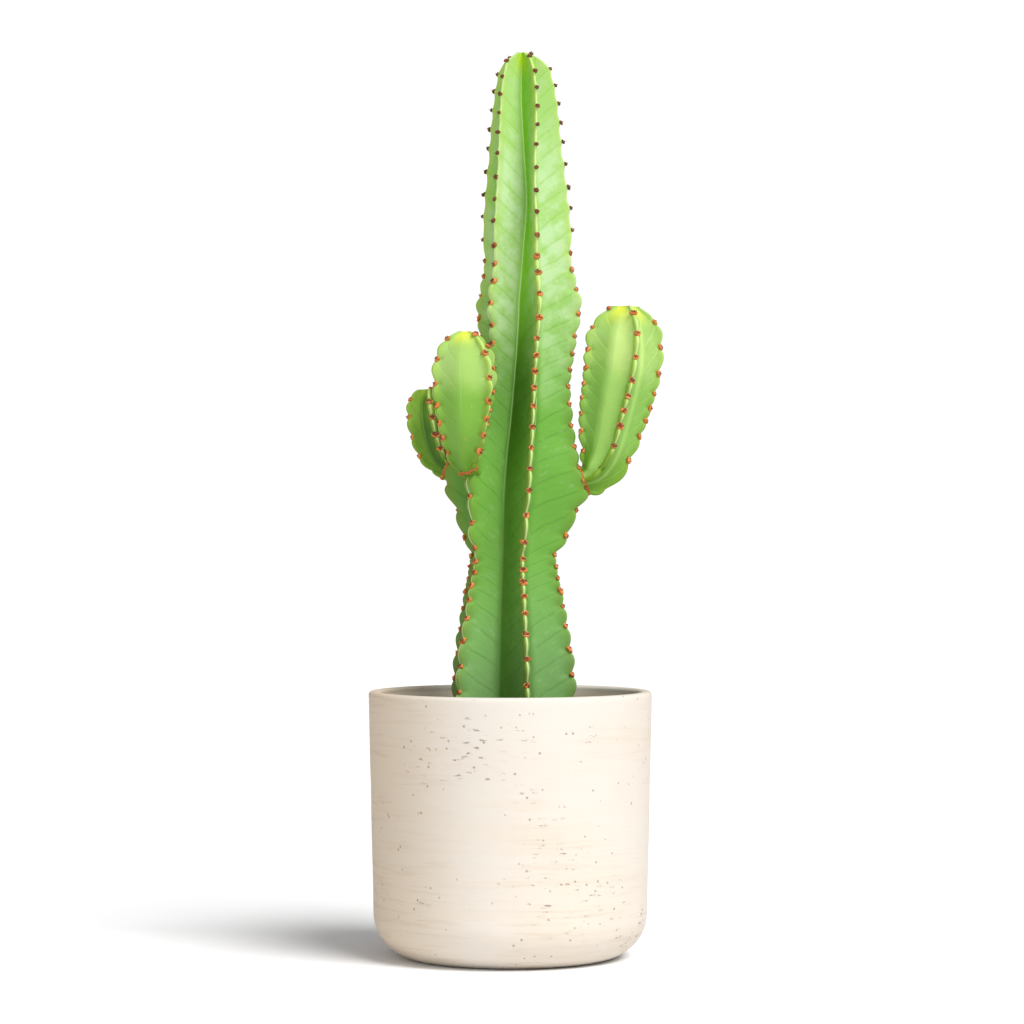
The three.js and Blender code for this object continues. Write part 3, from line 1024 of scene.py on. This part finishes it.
MAIN_STEM = Shoot(
    node="main_stem",
    slot="stem_skin",
    finish=STEM_SKIN,
    start=135.0,
    bare_foot=167.0,
    rows=500,
    sector_columns=38,
    axis=(
        (-2, 0, 135),
        (-2, 0, 190),
        (-1, 0, 280),
        (1, 0, 333),
        (6.5, 0, 393),
        (9.5, 0, 460),
        (8.3, 0, 535),
        (8.2, 0, 638.5),
    ),
    girth=(
        (135, 20),
        (150, 38),
        (165, 47),
        (190, 49),
        (217, 46.5),
        (250, 40),
        (284, 33.5),
        (292, 39),
        (300, 42),
        (315, 43.5),
        (330, 48.5),
        (352, 45),
        (386, 38.5),
        (407, 35.5),
        (440, 38.5),
        (461, 41.5),
        (490, 34.5),
        (512, 35.5),
        (535, 33.5),
        (570, 29.5),
        (605, 25.5),
        (620, 22.5),
        (632, 17),
        (638.5, 6),
    ),
    core=(
        (135, 12),
        (165, 20),
        (217, 19),
        (284, 14),
        (333, 16),
        (393, 15),
        (464, 11),
        (535, 11),
        (605, 8),
        (638.5, 3),
    ),
    spacing=(
        (135, 18),
        (205, 18),
        (221, 17),
        (237, 15),
        (250, 11.7),
        (262, 9.2),
        (271, 8.8),
        (278, 7.2),
        (288, 13),
        (304, 19.5),
        (322, 17.2),
        (339, 15.5),
        (360, 14.4),
        (383, 14.5),
        (397, 12.5),
        (410, 11.3),
        (432, 11.8),
        (446, 15),
        (461, 16.6),
        (477, 14),
        (489, 11),
        (500, 15.5),
        (515, 16.8),
        (531, 14.6),
        (550, 16.5),
        (563, 16.6),
        (580, 13.8),
        (607, 13),
        (640, 10),
    ),
    youth=((478, 0), (520, 1)),
    valley_width=0.15,
    valley_swing={4: ((464, 0), (500, 15), (535, 27), (570, 16), (605, 2))},
    ribs=(
        Rib(
            azimuth=((135, 18), (535, 17), (605, 25)),
            phase=0.25,
            reach=((135, 0.96), (284, 1), (333, 0.94), (393, 1)),
        ),
        Rib(
            azimuth=((135, 90), (640, 90)),
            phase=0.56,
            reach=((290, 1), (330, 1.13), (350, 1.05), (386, 1)),
            swelling=((300, 0), (330, 4.5), (348, 4.5), (370, 0)),
        ),
        Rib(azimuth=((135, 162), (640, 160)), phase=0.1),
        Rib(
            azimuth=((135, 234), (640, 234)),
            phase=0.35,
            reach=((290, 1), (335, 1.18), (365, 1.05), (393, 1)),
            swelling=((300, 0), (332, 4.5), (350, 4.5), (372, 0)),
        ),
        Rib(
            azimuth=((135, 306), (464, 307), (535, 322), (640, 322)),
            phase=0.91,
            reach=((135, 0.95), (284, 0.87), (333, 0.8), (461, 0.77), (535, 0.92), (605, 1)),
            swelling=((308, 0), (334, 3), (350, 3), (372, 0)),
        ),
    ),
)

SLIM_NECK = ((0.0, 0.6), (12.0, 0.66), (26.0, 0.86), (40.0, 1.0))

RIGHT_ARM = Shoot(
    node="right_arm",
    slot="arm_skin",
    finish=ARM_SKIN,
    valley_width=0.36,
    bare_foot=22.0,
    collar=6.5,
    axis=(
        (45, 0, 336),
        (58, -1, 342),
        (67, -2, 358),
        (73, -3, 385),
        (79, -3, 415),
        (81, -2, 440),
        (81.5, -2, 459.5),
    ),
    girth=(
        (0, 8),
        (5, 11),
        (12, 17),
        (20, 19.5),
        (32, 21),
        (50, 23.5),
        (70, 26),
        (100, 28.5),
        (118, 26.5),
        (128, 20),
        (135, 10),
    ),
    core=((0, 4), (8, 5.5), (20, 10), (60, 14.5), (105, 15), (128, 9), (135, 4)),
    spacing=((0, 9), (20, 18), (45, 14), (60, 10), (78, 11), (95, 16), (120, 16), (140, 9)),
    ribs=(
        Rib(azimuth=((0, 12), (140, 20)), phase=0.5, reach=SLIM_NECK, first_pad=34.0),
        Rib(azimuth=((0, 92), (140, 92)), phase=0.1),
        Rib(azimuth=((0, 186), (140, 186)), phase=0.6, reach=SLIM_NECK, first_pad=34.0),
        Rib(azimuth=((0, 272), (140, 272)), phase=0.8, reach=SLIM_NECK),
    ),
)

FRONT_LEFT_ARM = Shoot(
    node="front_left_arm",
    slot="arm_skin",
    finish=FRONT_ARM_PAINTED_SHADE_SKIN,
    valley_width=0.36,
    bare_foot=18.0,
    collar=7.5,
    rows=260,
    axis=(
        (-26, -19, 342),
        (-31.5, -28, 349),
        (-32, -37, 362),
        (-32, -43, 378),
        (-31.5, -45, 405),
        (-31, -45, 425),
        (-30.5, -45, 439.5),
    ),
    girth=(
        (0, 7),
        (8, 8),
        (16, 11.5),
        (30, 16),
        (50, 20.5),
        (66, 23.5),
        (82, 24),
        (95, 20),
        (103, 13),
        (107, 6),
    ),
    core=((0, 4), (9, 5.5), (20, 8.5), (46, 12.5), (84, 13.5), (101, 8), (107, 3)),
    spacing=((0, 9), (16, 13), (34, 10.5), (52, 11), (67, 16), (90, 16), (107, 9)),
    ribs=(
        Rib(azimuth=((0, 48), (55, 56), (107, 40)), phase=0.3),
        Rib(azimuth=((0, 118), (107, 112)), phase=0.7),
        Rib(azimuth=((0, 190), (107, 190)), phase=0.2),
        Rib(azimuth=((0, 286), (107, 284)), phase=0.0),
    ),
)

REAR_LEFT_ARM = Shoot(
    node="rear_left_arm",
    slot="arm_skin",
    finish=SHADED_ARM_SKIN,
    valley_width=0.36,
    bare_foot=16.0,
    collar=7.5,
    rows=200,
    axis=(
        (-38, 29, 341),
        (-46, 35, 346),
        (-52, 39, 357),
        (-55.5, 41, 374),
        (-56.5, 42, 388),
        (-57, 42, 402.5),
    ),
    girth=((0, 8), (9, 9), (18, 13), (32, 16.5), (48, 18.5), (60, 18), (68, 13), (73, 6)),
    core=((0, 4), (9, 5.5), (20, 8), (45, 9.5), (60, 9), (73, 3)),
    spacing=((0, 8), (20, 11), (45, 13), (75, 10)),
    ribs=(
        Rib(azimuth=((0, 20), (73, -8)), phase=0.4),
        Rib(azimuth=((0, 96), (73, 80)), phase=0.9),
        Rib(azimuth=((0, 184), (73, 176)), phase=0.2),
        Rib(azimuth=((0, 276), (73, 268)), phase=0.6),
    ),
)


# ---- Planter -----------------------------------------------------------------------------------


@dataclass
class Planter:
    """The cream fibre-concrete pot: flat base, rounded foot, straight wall and rounded lip."""

    wall: float = 8.0
    floor: float = 11.0
    foot_radius: float = 32.6
    foot_steps: int = 22
    wall_steps: int = 60
    lip: float = 2.6
    lip_steps: int = 6
    round_steps: int = 224
    taper: float = 3.4
    unevenness: float = 0.22

    def __post_init__(self) -> None:
        """Read the pot's radius and height from its node."""
        low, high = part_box("planter")
        self.radius = (high[0] - low[0]) / 2 / MM
        self.height = high[2] / MM

    def _arc(self, centre: tuple[float, float], radius: float, start: float, steps: int) -> list[Vector]:
        """Return points on a quarter circle in the XZ plane, turning anticlockwise from a start."""
        points = []
        for place in range(steps + 1):
            angle = math.radians(start + 90 * place / steps)
            across = centre[0] + radius * math.cos(angle)
            height = centre[1] + radius * math.sin(angle)
            points.append(Vector((across, 0, height)))
        return points

    def outline(self) -> tuple[list[Vector], int]:
        """Return the half section of the pot and the number of its points that lie outside.

        The points run from the middle of the base up the outside, over the lip, down the inside
        and to the middle of the floor.
        """
        side = self.radius - self.taper
        foot, lip = self.foot_radius, self.lip
        outer_foot = self._arc((side - foot, foot), foot, -90, self.foot_steps)
        wall = [
            outer_foot[-1].lerp(Vector((self.radius, 0, self.height - lip)), place / self.wall_steps)
            for place in range(1, self.wall_steps)
        ]
        outer_lip = self._arc((self.radius - lip, self.height - lip), lip, 0, self.lip_steps)
        inner_edge = self.radius - self.wall
        inner_lip = self._arc((inner_edge + lip, self.height - lip), lip, 90, self.lip_steps)
        inner_foot = foot - self.wall
        hub = (side - foot, self.floor + inner_foot)
        inner = self._arc(hub, inner_foot, -90, self.foot_steps)[::-1]
        inside = [
            inner_lip[-1].lerp(inner[0], place / self.wall_steps) for place in range(1, self.wall_steps)
        ]
        outer = [Vector((0, 0, 0)), *outer_foot, *wall, *outer_lip, *inner_lip]
        return [*outer, *inside, *inner, Vector((0, 0, self.floor))], len(outer)

    def build(self, finish: bpy.types.Material) -> None:
        """Build the pot and let it stand for its node."""
        shape = bmesh.new()
        inside_layer = shape.verts.layers.float.new("inside")
        points, outer_count = self.outline()
        verts = [shape.verts.new(point * MM) for point in points]
        for vert in verts[outer_count:]:
            vert[inside_layer] = 1.0
        edges = [shape.edges.new(pair) for pair in zip(verts, verts[1:])]
        bmesh.ops.spin(
            shape,
            geom=[*verts, *edges],
            cent=(0, 0, 0),
            axis=(0, 0, 1),
            angle=math.tau,
            steps=self.round_steps,
            use_merge=True,
        )
        bmesh.ops.remove_doubles(shape, verts=shape.verts, dist=1e-6)
        for vert in shape.verts:
            out = Vector((vert.co.x, vert.co.y, 0.0))
            above = step(vert.co.z, 0.004, 0.02)
            if out.length > (self.radius - self.wall * 2) * MM:
                level = Vector((vert.co.x * 30, vert.co.y * 30, vert.co.z * 260))
                wobble = noise.noise(vert.co * 28) + 0.5 * noise.noise(level)
                vert.co += out.normalized() * wobble * self.unevenness * MM * above
        settle(make_piece(shape, "planter_body", finish), "fibre_concrete", "planter")


# ---- Soil --------------------------------------------------------------------------------------


@dataclass
class SoilBed:
    """The crumbly top of the soil, with loose crumbs, bark and perlite."""

    seed: int = 11
    inner_radius: float = 90.4
    level: float = 163.0
    mound: float = 3.0
    mound_radius: float = 52.0
    around: int = 220
    rings: int = 60
    below: float = 2.0
    crumbs: int = 520
    bark: int = 130
    perlite: int = 70

    def top(self, x: float, y: float) -> float:
        """Return the height of the soil's surface at a place."""
        radius = math.hypot(x, y)
        rise = self.mound * (1 - step(radius, self.mound_radius, self.inner_radius))
        coarse = noise.noise(Vector((x, y, 0.0)) * 0.05) * 1.4
        fine = noise.fractal(Vector((x, y, 7.0)) * 0.22, 0.9, 2.2, 5) * 1.1
        return self.level + rise + coarse + fine

    def _crust(self) -> bmesh.types.BMesh:
        """Return the uneven top layer as a closed lens."""
        shape = bmesh.new()
        bmesh.ops.create_grid(shape, x_segments=self.around, y_segments=2 * self.rings, size=1.0)
        for vert in shape.verts:
            turn = math.pi * (vert.co.x + 1)
            way = vert.co.y
            radius = self.inner_radius * (1 - abs(way))
            x, y = radius * math.sin(turn), radius * math.cos(turn)
            flat = self.level - self.below
            vert.co = Vector((x, y, self.top(x, y) if way >= 0 else flat)) * MM
        bmesh.ops.remove_doubles(shape, verts=shape.verts, dist=1e-6)
        return shape

    def _scatter(
        self, count: int, sizes: tuple[float, float], flatness: float, draw: random.Random
    ) -> bmesh.types.BMesh:
        """Return loose bits on the surface.

        Args:
            count: How many.
            sizes: The smallest and largest radius.
            flatness: Height of a bit as a share of its width.
            draw: The random draws.

        Returns:
            All the bits as one shape.
        """
        shape = bmesh.new()
        for _ in range(count):
            radius = self.inner_radius * 0.97 * math.sqrt(draw.uniform(0.12, 1.0))
            turn = draw.uniform(0, math.tau)
            x, y = radius * math.cos(turn), radius * math.sin(turn)
            size = draw.uniform(*sizes)
            spin = Matrix.Rotation(draw.uniform(0, math.tau), 4, "Z")
            tip = Matrix.Rotation(draw.uniform(-0.5, 0.5), 4, "X")
            where = Matrix.Translation((x, y, self.top(x, y) + size * flatness * 0.4)) @ spin @ tip
            half = (size * draw.uniform(0.9, 1.5), size * draw.uniform(0.7, 1.0), size * flatness)
            bit = bmesh.new()
            add_lump(bit, where, half, 0.5, 2)
            append(shape, bit)
        return shape

    def build(
        self, soil: bpy.types.Material, bark: bpy.types.Material, perlite: bpy.types.Material
    ) -> None:
        """Build the crust and the loose bits."""
        draw = random.Random(self.seed)
        settle(make_piece(self._crust(), "soil_crust", soil), "soil")
        crumbs = self._scatter(self.crumbs, (0.8, 2.6), 0.75, draw)
        settle(make_piece(crumbs, "soil_crumbs", soil), "soil")
        bits = self._scatter(self.bark, (1.6, 4.2), 0.3, draw)
        settle(make_piece(bits, "bark_bits", bark), "soil")
        beads = self._scatter(self.perlite, (0.9, 1.9), 0.8, draw)
        settle(make_piece(beads, "perlite_beads", perlite), "soil")


# ---- Studio ------------------------------------------------------------------------------------


@dataclass(frozen=True)
class SoftSun:
    """A soft light from far away."""

    name: str
    azimuth: float
    height: float
    strength: float
    softness: float

    def build(self) -> None:
        """Add the light."""
        data = bpy.data.lights.new(self.name, "SUN")
        data.energy = self.strength
        data.angle = math.radians(self.softness)
        sun = bpy.data.objects.new(self.name, data)
        sun.rotation_euler = (math.radians(90 - self.height), 0.0, math.radians(self.azimuth))
        bpy.context.scene.collection.objects.link(sun)


@dataclass
class Studio:
    """A white floor, a pale surround that is brighter in front, two soft lights and the camera."""

    eye: tuple[float, float, float] = (0.0012, -2.5, 0.3143)
    lens: float = 124.4
    key: SoftSun = SoftSun("key", azimuth=42.0, height=49.0, strength=3.4, softness=34.0)
    fill: SoftSun = SoftSun("fill", azimuth=-40.0, height=10.0, strength=0.6, softness=60.0)
    bright_way: tuple[float, float, float] = (0.3, -0.95, -0.1)
    dim: float = 0.04
    bright: float = 0.8
    backdrop: float = 1.05
    floor_half: float = 40.0
    film_width: float = 36.0
    sight: float = 200.0

    def build(self, floor_finish: bpy.types.Material) -> None:
        """Set up the camera, the lights and the floor."""
        scene = bpy.context.scene
        scene.view_settings.view_transform = "Standard"
        data = bpy.data.cameras.new("camera")
        data.lens = self.lens
        data.sensor_width = self.film_width
        data.clip_end = self.sight
        camera = bpy.data.objects.new("camera", data)
        camera.location = self.eye
        camera.rotation_euler = (math.pi / 2, 0.0, 0.0)
        scene.collection.objects.link(camera)
        scene.camera = camera
        self.key.build()
        self.fill.build()
        self._surround(scene)
        shape = bmesh.new()
        bmesh.ops.create_grid(shape, x_segments=2, y_segments=2, size=self.floor_half)
        make_piece(shape, "studio_floor", floor_finish)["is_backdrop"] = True

    def _surround(self, scene: bpy.types.Scene) -> None:
        """Light the scene from all round, with a plain white backdrop behind the object."""
        world = bpy.data.worlds.new("surround")
        world.use_nodes = True
        scene.world = world
        nodes, links = world.node_tree.nodes, world.node_tree.links
        background = nodes["Background"]
        background.inputs["Color"].default_value = (1.0, 1.0, 1.0, 1.0)
        seen = nodes.new("ShaderNodeLightPath")
        way = nodes.new("ShaderNodeTexCoord")
        facing = nodes.new("ShaderNodeVectorMath")
        facing.operation = "DOT_PRODUCT"
        facing.inputs[1].default_value = self.bright_way
        strength = nodes.new("ShaderNodeMapRange")
        strength.inputs["From Min"].default_value = -1.0
        strength.inputs["To Min"].default_value = self.dim
        strength.inputs["To Max"].default_value = self.bright
        shown = nodes.new("ShaderNodeMix")
        shown.inputs["B"].default_value = self.backdrop
        links.new(way.outputs["Generated"], facing.inputs[0])
        links.new(facing.outputs["Value"], strength.inputs["Value"])
        links.new(seen.outputs["Is Camera Ray"], shown.inputs["Factor"])
        links.new(strength.outputs["Result"], shown.inputs["A"])
        links.new(shown.outputs["Result"], background.inputs["Strength"])


# ---- Assembly ----------------------------------------------------------------------------------


def dress_node(node: str, finish: bpy.types.Material) -> None:
    """Give a node that keeps its own mesh a better material."""
    slots = bpy.data.objects[node].material_slots
    for slot in slots:
        slot.material = finish
    log.info("%s: dressed", node)


def write_sizes() -> None:
    """Work out the frame's box and the finished model's box."""
    boxes = {"cad": cad_box, "visual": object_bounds()}
    plain = {name: [list(corner) for corner in box] for name, box in boxes.items()}


def main() -> None:
    """Build every piece in order."""
    logging.basicConfig(level=logging.INFO, format="%(message)s")
    Studio().build(FLOOR.build())
    cork, horn, soil = CORK.build(), THORN.build(), SOIL.build()
    Planter().build(CONCRETE.build())
    dress_node("potting_soil", soil)
    dress_node("root_ball", ROOTS.build())
    dress_node("drainage_gravel", GRANULES.build())
    SoilBed().build(soil, BARK.build(), PERLITE.build())
    skins = {
        finish.name: finish.build()
        for finish in (STEM_SKIN, ARM_SKIN, FRONT_ARM_PAINTED_SHADE_SKIN, SHADED_ARM_SKIN)
    }
    for seed, shoot in enumerate((MAIN_STEM, RIGHT_ARM, FRONT_LEFT_ARM, REAR_LEFT_ARM)):
        settle(shoot.skin(skins[shoot.finish.name]), shoot.slot, shoot.node)
        ThornPads(shoot, seed).build(cork, horn)
        if shoot.collar is not None:
            Collar(shoot).build(cork)
    write_sizes()


if __name__ == "__main__":
    main()
